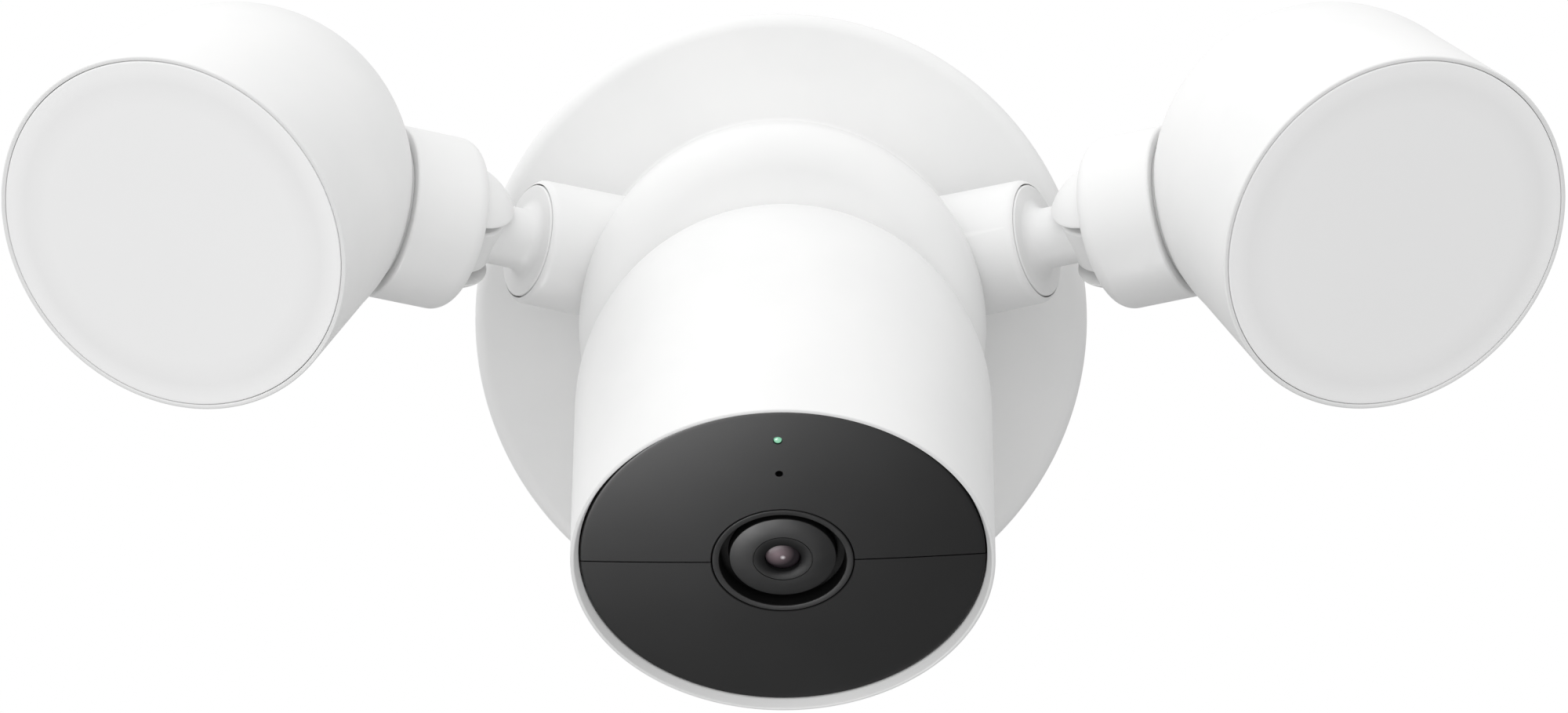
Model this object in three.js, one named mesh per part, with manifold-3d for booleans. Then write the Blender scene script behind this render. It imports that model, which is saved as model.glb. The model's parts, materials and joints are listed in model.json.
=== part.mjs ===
// Floodlight security camera: a round wall base with a hub, a camera that sits on the hub as a
// ball in a dish, and two floodlight heads on swivelling, bending arms.
// Millimetres, +Z up, the wall is the plane y = 0 and the front looks along -Y.
import * as THREE from "three";
import { mergeVertices } from "three/addons/utils/BufferGeometryUtils.js";
import Module from "manifold-3d";

// ---------------------------------------------------------------- driving dimensions
const DEG = Math.PI / 180;
const GAP = 0.3; // between neighbouring pieces
const WALL = 2.8; // moulded wall thickness

// Wall base, revolved about the axis that leaves the wall. Heights are measured from the wall.
const PLATE = { radius: 63, back: 0.6, front: 22, edge: 3 };
const HUB = { radius: 41, front: 65, shoulder: 9, fillet: 0.8 };
const BACK_COVER = { radius: 43, back: 8.7, front: 11.2 };
const GASKET = { inner: 54.6, outer: 59.8, front: 2.4 };
const BRACKET = { radius: 50, thickness: 1.6, earRadius: 52.6, earHalf: 6, earReach: 16 };
const BRACKET_SLOT = { ring: 40, halfLength: 7.3, halfWidth: 2.3 };
const BRACKET_WIREWAY = { up: 20, halfWidth: 24, halfHeight: 9 };
const BASE_SCREW = { head: 3.2, headHeight: 1.2, shank: 1.8, length: 13 };
const BASE_SCREW_SEAT = { angles: [-60, -120], height: 9, boss: 5, start: 54.6, hole: 2.1, sink: 3.5 };
const COVER_SCREW = { head: 2.9, headHeight: 1.8, shank: 1.3, length: 12, hole: 1.9 };
const COVER_POSTS = { angles: [90, 210, 330], ring: 36.5, radius: 3.6, hole: 1.6, front: 27 };
const INLET = { radius: 6, up: 22 };
const GLAND = { bore: 2.5, nose: 5, flange: 8, inside: 7.5, insideNose: 6.5, rear: 2.5, front: 2 };
const TERMINALS = { halfWidth: 14, low: -28, high: -16, depth: 5.2, mouths: [-9, 0, 9], mouthHalf: 2.2 };
const BOARD = { radius: 32, back: 14, thickness: 1.6 };
const TRANSFORMER = { left: -30, right: -16, low: -8, high: 10, depth: 11 };

// Camera: a half ball behind a short barrel, both of one radius.
const CAMERA = { radius: 41.5, length: 42.35, wall: 2.6 };
const CAMERA_PITCH = 40.9 * DEG; // downwards
const CAMERA_PAN = -0.7 * DEG; // to the right
const CAMERA_ROLL = 1.6 * DEG; // anticlockwise, seen from the front
const CAMERA_CENTRE = new THREE.Vector3(0, -16.2, 74); // right, up, out from the wall
const DISH_RADIUS = 42;
const MAGNET = { radius: 14, thickness: 5, reach: 47.3, rise: 30 * DEG };
const WINDOW = { radius: 39.6, edge: 40.65, bulge: 1.2, back: 37.15 };
const LENS = { bezel: 13.85, well: 12.4, cover: 10.45, cone: 5.8, glass: 3.4, front: 41.75 };
const LENS_BACKS = { cover: 37.65, glass: 36.15 };
const SPLIT = 0.15; // half the thin line between the two windows
const STATUS_LIGHT_UP = 32.05;
const MICROPHONE_UP = 23.5;
const BUTTON = { radius: 2.2, along: 8, sink: 0.3, flange: 3.1, flangeHeight: 1 };
const SPEAKER = { radius: 9, along: 24, height: 6.5, holes: [-8, -4, 0, 4, 8], holeRadius: 0.9 };
const STATUS_LIGHT = { radius: 0.75, back: 29.5 };
const MICROPHONE = { hole: 0.65, halfWidth: 2, halfHeight: 1.5, back: 29.5, front: 31 };
const MOTION_SENSOR = { radius: 4.6, down: 22, back: 29.5, front: 35.5 };
const INFRARED = { radius: 2.5, across: 22, up: 12, back: 29.5, front: 35 };
const BARREL = { inner: 4.2, outer: 8.5, back: 20.4, front: 35.8 };
const SENSOR = { halfWidth: 5, halfHeight: 4, back: 18.9, front: 20.1 };
const FRONT_FRAME = { back: 34.6, front: 36.6, lens: 14.45, around: 0.5 };
const MAIN_BOARD = { radius: 34, back: 17, front: 18.6 };
const FRONT_BOARD = { back: 27.8, front: 29.2 };
const KEEPER = { inner: 36.9, outer: 38.2, halfAngle: 24 };
const CARRIER = { inner: 35.2, outer: 36.5, halfAngle: 30 };

// Light arm: distances s run along the arm's axis from the face of its cap.
const ARM_ROOT = new THREE.Vector3(51.7, 17.3, 48); // right, up, out from the wall
const ARM_OUT = 24.2 * DEG; // swing towards the front
const ARM_RISE = 11.6 * DEG;
const PIN_LEAN = 35.5 * DEG; // the knuckle pin leans towards the front
const BOSS = { tip: 12.6, root: 12.9, start: -24, edge: 2, web: -12, chamber: 10 };
const ARM = { cap: 11.4, capDepth: 2.7, journal: 6.9, stem: 6.15, fillet: 2.5, thread: 4.5, end: -21 };
const STEM_END = 11.7; // where the stem has run into its tang
const NUT = { radius: 8.5, back: -18.6, front: -13.4 };
const SEAL = { outer: 11, thickness: 1 };
const PIN = { s: 16.7, radius: 2.5, head: 3.6, headHeight: 3, top: 11.5, bottom: -15.5, socket: 1.8 };
const TANG = { radius: 9.7, halfThickness: 5, collar: 4.6 }; // round about the pin
const NECK = { dome: 12.95, rear: 15.2, edge: 3.5, radius: 17.5, front: 31.8, collar: 15, end: 41 };
const SLOT = { halfHeight: 7.25, halfWidth: 13, floor: 27.2 }; // in the neck, for the tang
const WIREWAY = { radius: 10.5, web: 3, leadHole: 2.5 }; // in the neck, beyond the slot
const RETAINER = { inner: 13.4, outer: 17.3, rear: 37, front: 38.5 };

// Light head: a half ball that opens to a slightly wider face.
const HEAD = { radius: 35.3, face: 37.3, depth: 29, wall: 2.5, ledge: 25.8, s: 64.05 };
const HEAD_YAW = 23.5 * DEG; // outwards
const HEAD_PITCH = 20.6 * DEG; // downwards
const DIFFUSER = { radius: 36, back: 27.5, edge: 29, crown: 0.4, chamfer: 0.5 };
const HEAT_SINK = { radius: 32.1, back: 3, front: 8 };
const FIN = { reach: 27, back: -1.9, pitch: 5, halfThickness: 0.8, eachSide: 4 };
const LED_BOARD_RADIUS = 29;
const EMITTER = { radius: 8, thickness: 1 };
const GASKET_WIDTH = 1.2;
const REFLECTOR = { inner: 9, throat: 11, outer: 33.4, back: 10.2, front: 26.7, thickness: 1.2 };

// Facets round a full turn.
const FINE = 36;
const ROUND = 24;
const SMALL = 12;
const TINY = 8;

// ---------------------------------------------------------------- solids
const wasm = await Module();
wasm.setup();

// A closed three.js geometry as a manifold solid, with its faces turned outwards.
function toSolid(geometry) {
  const bare = geometry.clone();
  bare.deleteAttribute("normal");
  bare.deleteAttribute("uv");
  const merged = mergeVertices(bare, 1e-4);
  const index = merged.index.array;
  const kept = [];
  for (let i = 0; i < index.length; i += 3) {
    const [a, b, c] = [index[i], index[i + 1], index[i + 2]];
    if (a !== b && b !== c && c !== a) kept.push(a, b, c);
  }
  const vertProperties = new Float32Array(merged.attributes.position.array);
  if (signedVolume(vertProperties, kept) < 0) kept.reverse();
  const mesh = new wasm.Mesh({ numProp: 3, vertProperties, triVerts: new Uint32Array(kept) });
  return new wasm.Manifold(mesh);
}

function signedVolume(xyz, triangles) {
  const corner = (i) => new THREE.Vector3().fromArray(xyz, 3 * triangles[i]);
  let sum = 0;
  for (let i = 0; i < triangles.length; i += 3) {
    sum += corner(i).dot(corner(i + 1).cross(corner(i + 2)));
  }
  return sum / 6;
}

function toGeometry(solid) {
  const { vertProperties, triVerts } = solid.getMesh();
  const geometry = new THREE.BufferGeometry();
  geometry.setAttribute("position", new THREE.BufferAttribute(vertProperties, 3));
  geometry.setIndex(new THREE.BufferAttribute(triVerts, 1));
  return geometry;
}

const join = (...bodies) => toGeometry(bodies.map(toSolid).reduce((a, b) => a.add(b)));
const cut = (body, ...tools) => toGeometry(toSolid(body).subtract(toSolid(join(...tools))));
const overlap = (a, b) => toGeometry(toSolid(a).intersect(toSolid(b)));

// ---------------------------------------------------------------- shapes, each about +Z
// Points [radius, height] round the corner at (cx, cz), from one angle to another in degrees.
function arc(cx, cz, radius, from, to, steps = 6) {
  const points = [];
  for (let i = 0; i <= steps; i += 1) {
    const angle = (from + ((to - from) * i) / steps) * DEG;
    points.push([cx + radius * Math.cos(angle), cz + radius * Math.sin(angle)]);
  }
  return points;
}

// A profile whose ends lie on the axis, or one that closes on itself, turned about +Z.
function revolve(profile, segments = ROUND) {
  const points = profile.map(([r, z]) => new THREE.Vector2(Math.max(r, 0), z));
  return new THREE.LatheGeometry(points, segments).rotateX(Math.PI / 2);
}

const disc = (radius, z0, z1, segments = SMALL) =>
  revolve([[0, z0], [radius, z0], [radius, z1], [0, z1]], segments);

const ring = (inner, outer, z0, z1, segments = ROUND) =>
  revolve([[inner, z0], [outer, z0], [outer, z1], [inner, z1], [inner, z0]], segments);

const box = (x0, x1, y0, y1, z0, z1) =>
  new THREE.BoxGeometry(x1 - x0, y1 - y0, z1 - z0)
    .translate((x0 + x1) / 2, (y0 + y1) / 2, (z0 + z1) / 2);

const ball = (radius, centre, segments = FINE) =>
  new THREE.SphereGeometry(radius, segments, segments / 2).translate(...centre.toArray());

// A flat outline in the plane of x and y, raised from z0 to z1.
const raise = (shape, z0, z1, curveSegments = 8) =>
  new THREE.ExtrudeGeometry(shape, { depth: z1 - z0, bevelEnabled: false, curveSegments })
    .translate(0, 0, z0);

const turnZ = (geometry, degrees) => geometry.rotateZ(degrees * DEG);

// ---------------------------------------------------------------- frames
const model = new THREE.Group();
model.name = "floodlight_camera";

// Inside this group x is right, y is up and z leaves the wall.
const wall = new THREE.Group();
wall.rotation.x = Math.PI / 2;
model.add(wall);

// A group whose +Z runs along z and whose +Y is as near to up as it can be, turned by roll.
function frameAlong(z, up, origin, roll = 0) {
  const y = up.clone().addScaledVector(z, -up.dot(z)).normalize().applyAxisAngle(z, roll);
  const group = new THREE.Group();
  group.matrix.makeBasis(new THREE.Vector3().crossVectors(y, z), y, z).setPosition(origin);
  group.matrix.decompose(group.position, group.quaternion, group.scale);
  return group;
}

const UP = new THREE.Vector3(0, 1, 0);
const SIDES = [["right", 1], ["left", -1]];

const armAxis = (side) => new THREE.Vector3(
  side * Math.cos(ARM_RISE) * Math.cos(ARM_OUT),
  Math.sin(ARM_RISE),
  Math.cos(ARM_RISE) * Math.sin(ARM_OUT),
);
const armRoot = (side) => ARM_ROOT.clone().multiply(new THREE.Vector3(side, 1, 1));
const armFrame = (side) => frameAlong(armAxis(side), UP, armRoot(side), side * PIN_LEAN);

const headAxis = (side) => new THREE.Vector3(
  side * Math.cos(HEAD_PITCH) * Math.sin(HEAD_YAW),
  -Math.sin(HEAD_PITCH),
  Math.cos(HEAD_PITCH) * Math.cos(HEAD_YAW),
);
const headFrame = (side) =>
  frameAlong(headAxis(side), UP, armRoot(side).addScaledVector(armAxis(side), HEAD.s));

const cameraFrame = new THREE.Group();
cameraFrame.position.copy(CAMERA_CENTRE);
cameraFrame.rotation.set(CAMERA_PITCH, CAMERA_PAN, CAMERA_ROLL, "YXZ");
wall.add(cameraFrame);

// ---------------------------------------------------------------- finishes
const FINISH = {
  white: { color: 0xf1f1ef, roughness: 0.55, metalness: 0 },
  smoked: { color: 0x2b2b2d, roughness: 0.3, metalness: 0 },
  black: { color: 0x0c0c0d, roughness: 0.35, metalness: 0 },
  frosted: { color: 0xe9e9e7, roughness: 0.6, metalness: 0 },
  glass: { color: 0x1b1420, roughness: 0.05, metalness: 0 },
  rubber: { color: 0x1f1f20, roughness: 0.85, metalness: 0 },
  board: { color: 0x1f5a3a, roughness: 0.5, metalness: 0 },
  steel: { color: 0xb8bbbe, roughness: 0.35, metalness: 1 },
  aluminium: { color: 0xc9ccd0, roughness: 0.45, metalness: 1 },
  reflector: { color: 0xf6f6f4, roughness: 0.25, metalness: 0 },
  phosphor: { color: 0xe8d37a, roughness: 0.5, metalness: 0 },
  signal: { color: 0x8acca8, roughness: 0.3, metalness: 0 },
};

function add(frame, name, geometry, finish) {
  const mesh = new THREE.Mesh(geometry, new THREE.MeshStandardMaterial(FINISH[finish]));
  mesh.name = name;
  frame.add(mesh);
}

// ---------------------------------------------------------------- wall base
// The boss that carries one arm, in the arm's own frame.
function bossShape() {
  return revolve([
    [0, BOSS.start],
    [BOSS.root, BOSS.start],
    ...arc(BOSS.tip - BOSS.edge, -BOSS.edge, BOSS.edge, 0, 90, 3),
    [0, 0],
  ]);
}

// What is taken out of a boss: the cap's seat, the journal's bore and the nut's chamber.
function bossBore() {
  const seat = -ARM.capDepth - SEAL.thickness - 2 * GAP;
  const { start, web, chamber } = BOSS;
  return revolve([
    [0, start - 3],
    [chamber, start - 3],
    [chamber, web],
    [ARM.journal + GAP, web],
    [ARM.journal + GAP, seat],
    [ARM.cap + GAP, seat],
    [ARM.cap + GAP, 1],
    [0, 1],
  ]);
}

function inArmFrame(geometry, side) {
  const frame = armFrame(side);
  frame.updateMatrix();
  return geometry.applyMatrix4(frame.matrix);
}

function baseHousing() {
  const { radius, back, front, edge } = PLATE;
  const outside = revolve([
    [0, back],
    [radius, back],
    ...arc(radius - edge, front - edge, edge, 0, 90, 3),
    ...arc(HUB.radius + HUB.fillet, front + HUB.fillet, HUB.fillet, 270, 180, 3),
    ...arc(HUB.radius - HUB.shoulder, HUB.front - HUB.shoulder, HUB.shoulder, 0, 90, 6),
    [0, HUB.front],
  ], FINE);
  const bosses = SIDES.map(([, side]) => inArmFrame(bossShape(), side));
  const bores = SIDES.map(([, side]) => inArmFrame(bossBore(), side));

  // The hub's chamber, which stops short of the dish.
  const inner = HUB.radius - WALL;
  const shoulder = HUB.shoulder - WALL;
  const chamber = cut(
    revolve([
      [0, BACK_COVER.front],
      [inner, BACK_COVER.front],
      ...arc(inner - shoulder, HUB.front - HUB.shoulder, shoulder, 0, 90, 3),
      [0, HUB.front - WALL],
    ]),
    ball(DISH_RADIUS + WALL, CAMERA_CENTRE, ROUND),
  );
  const rim = radius - WALL;
  const plateChamber = revolve([
    [0, back - 1],
    [rim, back - 1],
    [rim, front - WALL],
    [HUB.radius, front - WALL],
    [HUB.radius, BACK_COVER.front + GAP],
    [0, BACK_COVER.front + GAP],
  ], FINE);
  const dish = ball(DISH_RADIUS, CAMERA_CENTRE);

  const posts = COVER_POSTS.angles.map((angle) => turnZ(
    disc(COVER_POSTS.radius, BACK_COVER.front + GAP, COVER_POSTS.front, TINY)
      .translate(COVER_POSTS.ring, 0, 0),
    angle,
  ));
  const postHoles = COVER_POSTS.angles.map((angle) => turnZ(
    disc(COVER_POSTS.hole, BACK_COVER.front, COVER_POSTS.front - 3, TINY)
      .translate(COVER_POSTS.ring, 0, 0),
    angle,
  ));
  const { angles, boss, start, hole, sink } = BASE_SCREW_SEAT;
  const sinkFloor = radius - BASE_SCREW.headHeight - 0.4;
  const screwBosses = angles.map((angle) => radial(disc(boss, start, rim + 0.5), angle));
  const screwHoles = angles.map((angle) => radial(
    join(disc(hole, BRACKET.radius, radius + 1, TINY), disc(sink, sinkFloor, radius + 1)),
    angle,
  ));
  const shell = cut(join(outside, ...bosses), plateChamber, chamber, ...bores);
  return cut(join(shell, ...posts, ...screwBosses), dish, ...postHoles, ...screwHoles);
}

// Turns a shape about +Z so that it points out from the base's axis at the screws' height.
function radial(geometry, degrees) {
  return turnZ(geometry.rotateY(Math.PI / 2).translate(0, 0, BASE_SCREW_SEAT.height), degrees);
}

// A cap screw about +Z: its head's face at z = 0 and its shank running to -length.
function screw({ head, headHeight, shank, length }) {
  const chamfer = 0.4;
  const body = revolve([
    [0, -length],
    [shank, -length],
    [shank, -headHeight],
    [head, -headHeight],
    [head, -chamfer],
    [head - chamfer, 0],
    [0, 0],
  ], SMALL);
  return cut(body, disc(head * 0.5, -headHeight * 0.6, 1, 6));
}

function wallBracket() {
  const { radius, thickness, earRadius, earHalf, earReach } = BRACKET;
  const { angles, hole } = BASE_SCREW_SEAT;
  const plate = disc(radius, 0, thickness, ROUND);
  const tongues = angles.map((angle) =>
    turnZ(box(radius - 2, earRadius, -earHalf, earHalf, 0, thickness), angle));
  const ears = angles.map((angle) =>
    turnZ(box(earRadius - thickness, earRadius, -earHalf, earHalf, 0, earReach), angle));
  const threads = angles.map((angle) => radial(disc(hole, radius - 2, radius + 4, TINY), angle));
  const through = (x, y, halfX, halfY) =>
    box(x - halfX, x + halfX, y - halfY, y + halfY, -1, thickness + 1);
  const wireway = BRACKET_WIREWAY;
  const wireways = [1, -1].map((way) =>
    through(0, way * wireway.up, wireway.halfWidth, wireway.halfHeight));
  const slot = BRACKET_SLOT;
  const slots = [1, -1].map((way) => through(way * slot.ring, 0, slot.halfLength, slot.halfWidth));
  return cut(join(plate, ...tongues, ...ears), ...threads, ...wireways, ...slots);
}

function backCover() {
  const { radius, back, front } = BACK_COVER;
  const plate = disc(radius, back, front, ROUND);
  const screwHoles = COVER_POSTS.angles.map((angle) => turnZ(
    disc(COVER_SCREW.hole, back - 1, front + 1, TINY).translate(COVER_POSTS.ring, 0, 0),
    angle,
  ));
  const inlet = disc(INLET.radius + GAP, back - 1, front + 1).translate(0, INLET.up, 0);
  return cut(plate, inlet, ...screwHoles);
}

// Rubber gland with flanges on both sides of the back cover and a way through for the leads.
function cableGland() {
  const { back, front } = BACK_COVER;
  return revolve([
    [GLAND.bore, back - GLAND.rear],
    [GLAND.nose, back - GLAND.rear],
    [GLAND.flange, back - 1],
    [GLAND.flange, back - GAP],
    [INLET.radius, back - GAP],
    [INLET.radius, front + GAP],
    [GLAND.inside, front + GAP],
    [GLAND.insideNose, front + GLAND.front],
    [GLAND.bore, front + GLAND.front],
    [GLAND.bore, back - GLAND.rear],
  ], SMALL).translate(0, INLET.up, 0);
}

// The block under the back cover, with a mouth for each lead.
function terminalBlock() {
  const { halfWidth, low, high, depth, mouths, mouthHalf } = TERMINALS;
  const { back } = BACK_COVER;
  const body = box(-halfWidth, halfWidth, low, high, back - depth, back - GAP);
  const openings = mouths.map((x) =>
    box(x - mouthHalf, x + mouthHalf, low - 2, high - 4, back - depth + 1, back - 1.6));
  return cut(body, ...openings);
}

function addBase() {
  add(wall, "base_housing", baseHousing(), "white");
  add(wall, "wall_bracket", wallBracket(), "steel");
  add(wall, "wall_gasket", ring(GASKET.inner, GASKET.outer, 0, GASKET.front), "rubber");
  add(wall, "back_cover", backCover(), "white");
  add(wall, "cable_gland", cableGland(), "rubber");
  add(wall, "terminal_block", terminalBlock(), "white");

  for (const [i, angle] of COVER_POSTS.angles.entries()) {
    const fixing = screw(COVER_SCREW).rotateX(Math.PI);
    fixing.translate(COVER_POSTS.ring, 0, BACK_COVER.back - GAP - COVER_SCREW.headHeight);
    add(wall, `back_cover_screw_${i + 1}`, turnZ(fixing, angle), "steel");
  }
  for (const [i, angle] of BASE_SCREW_SEAT.angles.entries()) {
    const fixing = screw(BASE_SCREW).translate(0, 0, PLATE.radius - 0.1);
    add(wall, `base_screw_${i + 1}`, radial(fixing, angle), "steel");
  }

  const boardFront = BOARD.back + BOARD.thickness;
  add(wall, "driver_board", disc(BOARD.radius, BOARD.back, boardFront, ROUND), "board");
  const { left, right, low, high, depth } = TRANSFORMER;
  const partsBack = boardFront + GAP;
  add(wall, "transformer", box(left, right, low, high, partsBack, partsBack + depth), "black");
  const magnet = disc(MAGNET.radius, MAGNET.reach, MAGNET.reach + MAGNET.thickness, ROUND);
  magnet.rotateX(Math.PI + MAGNET.rise).translate(...CAMERA_CENTRE.toArray());
  add(wall, "seat_magnet", magnet, "steel");
}

// ---------------------------------------------------------------- light arms
// The cap and stem, which end on a round tang. A collar on each side of the tang rubs on the neck.
function armStem() {
  const { cap, capDepth, journal, stem, fillet, thread, end } = ARM;
  const chamfer = 0.3;
  const turned = revolve([
    [0, end],
    [thread, end],
    [thread, BOSS.web],
    [journal, BOSS.web],
    [journal, -capDepth],
    [cap, -capDepth],
    [cap, -chamfer],
    [cap - chamfer, 0],
    ...arc(stem + fillet, fillet, fillet, 270, 180, 3),
    [stem, STEM_END],
    [0, STEM_END],
  ]);
  const { radius, halfThickness, collar } = TANG;
  const bite = 0.2; // how far the stem runs into the tang's faces
  const reach = radius - bite / 2;
  const above = alongPin(disc(reach, halfThickness - bite, stem + 1, ROUND));
  const below = alongPin(disc(reach, -stem - 1, bite - halfThickness, ROUND));
  const tang = alongPin(disc(radius, -halfThickness, halfThickness, ROUND));
  const collars = alongPin(disc(collar, GAP - SLOT.halfHeight, SLOT.halfHeight - GAP));
  const hole = alongPin(disc(PIN.radius + GAP, -SLOT.halfHeight - 1, SLOT.halfHeight + 1));
  return cut(join(cut(turned, above, below), tang, collars), hole);
}

// Turns a shape about +Z so that it lies along the knuckle pin, which is the arm's +Y.
const alongPin = (geometry) => geometry.rotateX(-Math.PI / 2).translate(0, 0, PIN.s);

function neckShape() {
  const { dome, rear, edge, radius, front, collar, end } = NECK;
  const domeEnd = Math.asin((PIN.s - rear) / dome) / DEG;
  const outside = revolve([
    ...arc(0, PIN.s, dome, 270, 360 - domeEnd, 5),
    ...arc(radius - edge, rear + edge, edge, 270, 360, 3),
    [radius, front],
    [collar, front],
    [collar, RETAINER.rear - GAP],
    [RETAINER.inner - GAP, RETAINER.rear - GAP],
    [RETAINER.inner - GAP, RETAINER.front + GAP],
    [collar, RETAINER.front + GAP],
    [collar, end],
    [0, end],
  ], ROUND);
  const { halfHeight, halfWidth, floor } = SLOT;
  const slot = box(-halfWidth, halfWidth, -halfHeight, halfHeight, 0, floor);
  const wiring = disc(WIREWAY.radius, floor + WIREWAY.web, end + 1);
  const leadHole = disc(WIREWAY.leadHole, floor - 1, floor + WIREWAY.web + 1, TINY);
  const outsideEnd = PIN.bottom - 5;
  const pinHole = join(
    disc(PIN.radius + GAP, outsideEnd, PIN.top + GAP),
    disc(PIN.head + GAP, outsideEnd, PIN.bottom + PIN.headHeight + GAP),
  );
  return cut(outside, slot, wiring, leadHole, alongPin(pinHole));
}

function knucklePin() {
  const { radius, head, headHeight, top, bottom, socket } = PIN;
  const chamfer = 0.5;
  const body = revolve([
    [0, bottom],
    [head, bottom],
    [head, bottom + headHeight],
    [radius, bottom + headHeight],
    [radius, top - chamfer],
    [radius - chamfer, top],
    [0, top],
  ], SMALL);
  return alongPin(cut(body, disc(socket, bottom - 1, bottom + headHeight * 0.6, 6)));
}

function armNut() {
  const { radius, back, front } = NUT;
  return cut(disc(radius, back, front, 6), disc(ARM.thread + GAP, back - 1, front + 1));
}

function addArm(name, side) {
  const frame = armFrame(side);
  wall.add(frame);
  add(frame, `arm_stem_${name}`, armStem(), "white");
  const sealFace = -ARM.capDepth - GAP;
  const seal = ring(ARM.journal + GAP, SEAL.outer, sealFace - SEAL.thickness, sealFace);
  add(frame, `arm_seal_${name}`, seal, "rubber");
  add(frame, `arm_nut_${name}`, armNut(), "steel");
  add(frame, `neck_${name}`, neckShape(), "white");
  add(frame, `knuckle_pin_${name}`, knucklePin(), "steel");
  const { inner, outer, rear, front } = RETAINER;
  add(frame, `neck_retainer_${name}`, ring(inner, outer, rear, front), "steel");
}

// ---------------------------------------------------------------- light heads
function headHousing(side) {
  const { radius, face, depth, wall: skin, ledge } = HEAD;
  const seat = DIFFUSER.radius + GAP;
  const chamfer = 0.8;
  const shell = revolve([
    ...arc(0, 0, radius, 270, 360, 9),
    [face, depth - chamfer],
    [face - chamfer, depth],
    [seat, depth],
    [seat, ledge],
    [seat - GASKET_WIDTH - 0.4, ledge],
    ...arc(0, 0, radius - skin, 360, 270, 6),
  ], FINE);
  const inverse = headFrame(side).quaternion.clone().invert();
  const towardsNeck = armAxis(side).negate().applyQuaternion(inverse);
  const turn = new THREE.Quaternion().setFromUnitVectors(new THREE.Vector3(0, 0, 1), towardsNeck);
  const mouth = disc(NECK.collar + GAP, radius * 0.6, radius + 5, ROUND).applyQuaternion(turn);
  return cut(shell, mouth);
}

function heatSink() {
  const { radius, back, front } = HEAT_SINK;
  const fins = [];
  for (let i = -FIN.eachSide; i <= FIN.eachSide; i += 1) {
    const x = i * FIN.pitch;
    const half = Math.sqrt(FIN.reach ** 2 - x ** 2);
    fins.push(box(x - FIN.halfThickness, x + FIN.halfThickness, -half, half, FIN.back, back + 0.5));
  }
  return join(disc(radius, back, front, ROUND), ...fins);
}

function reflectorShape() {
  const { inner, throat, outer, back, front, thickness } = REFLECTOR;
  return revolve([
    [inner, back],
    [throat, back],
    [outer, front - thickness],
    [outer, front],
    [outer - thickness, front],
    [inner, back + thickness],
    [inner, back],
  ]);
}

function diffuserShape() {
  const { radius, back, edge, crown: rise, chamfer } = DIFFUSER;
  return revolve([
    [0, back],
    [radius, back],
    [radius, edge - chamfer],
    [radius - chamfer, edge - 0.1],
    ...[0.6, 0].map((t) => [radius * t, edge + rise * (1 - t ** 2)]),
  ], FINE);
}

function addHead(name, side) {
  const frame = headFrame(side);
  wall.add(frame);
  const { radius, back } = DIFFUSER;
  add(frame, `head_housing_${name}`, headHousing(side), "white");
  add(frame, `heat_sink_${name}`, heatSink(), "aluminium");
  const boardBack = HEAT_SINK.front + GAP;
  const boardFront = boardBack + BOARD.thickness;
  const board = disc(LED_BOARD_RADIUS, boardBack, boardFront, ROUND);
  const emitterBack = boardFront + GAP;
  const emitter = disc(EMITTER.radius, emitterBack, emitterBack + EMITTER.thickness);
  add(frame, `led_board_${name}`, board, "board");
  add(frame, `led_emitter_${name}`, emitter, "phosphor");
  add(frame, `reflector_${name}`, reflectorShape(), "reflector");
  const gasket = ring(radius - GASKET_WIDTH, radius, HEAD.ledge + GAP, back - GAP);
  add(frame, `diffuser_gasket_${name}`, gasket, "rubber");
  add(frame, `diffuser_${name}`, diffuserShape(), "frosted");
}

// ---------------------------------------------------------------- camera
const SHELL_INSIDE = CAMERA.radius - CAMERA.wall;

function cameraShell() {
  const { radius, length } = CAMERA;
  const seat = WINDOW.radius + GAP;
  const edge = 1;
  const shell = revolve([
    ...arc(0, 0, radius, 270, 360, 10),
    ...arc(radius - edge, length - edge, edge, 0, 90, 2),
    [seat, WINDOW.edge + 0.1],
    [seat, WINDOW.back - GAP],
    ...arc(0, 0, SHELL_INSIDE, 360, 270, 7),
  ], FINE);
  const inside = SHELL_INSIDE - 5;
  const outside = radius + 5;
  const holes = SPEAKER.holes.map((x) =>
    downwards(disc(SPEAKER.holeRadius, inside, outside, TINY), x, SPEAKER.along));
  const buttonHole = downwards(disc(BUTTON.radius + GAP, inside, outside), 0, BUTTON.along);
  return cut(shell, buttonHole, ...holes);
}

// Turns a shape about +Z to point down from the camera's axis, at x and at a place along it.
function downwards(geometry, x, along) {
  return geometry.rotateX(Math.PI / 2).translate(x, 0, along);
}

// A thin cap of a sphere about the camera's centre, lying behind it.
function sphericalCap({ inner, outer, halfAngle }) {
  return revolve([
    ...arc(0, 0, outer, 270, 270 + halfAngle, 3),
    ...arc(0, 0, inner, 270 + halfAngle, 270, 3),
  ], SMALL);
}

// The front windows' crowned surface at a distance r from the camera's axis.
const crown = (r) => WINDOW.edge + WINDOW.bulge * (1 - (r / WINDOW.radius) ** 2);

function windowHalf(way) {
  const { radius, back } = WINDOW;
  const inner = LENS.bezel + GAP;
  const surface = [0, 0.25, 0.5, 0.75, 1].map((t) => {
    const r = radius + (inner - radius) * t;
    return [r, crown(r)];
  });
  const whole = revolve([[inner, back], [radius, back], ...surface, [inner, back]], FINE);
  const wide = radius + 5;
  const [behind, ahead] = [back - 1, LENS.front + 5];
  const [low, high] = way > 0 ? [SPLIT, wide] : [-wide, -SPLIT];
  const half = overlap(whole, box(-wide, wide, low, high, behind, ahead));
  if (way < 0) return half;
  const hole = (size, up) => disc(size, behind, ahead, TINY).translate(0, up, 0);
  return cut(half, hole(STATUS_LIGHT.radius + GAP, STATUS_LIGHT_UP), hole(MICROPHONE.hole, MICROPHONE_UP));
}

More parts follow.
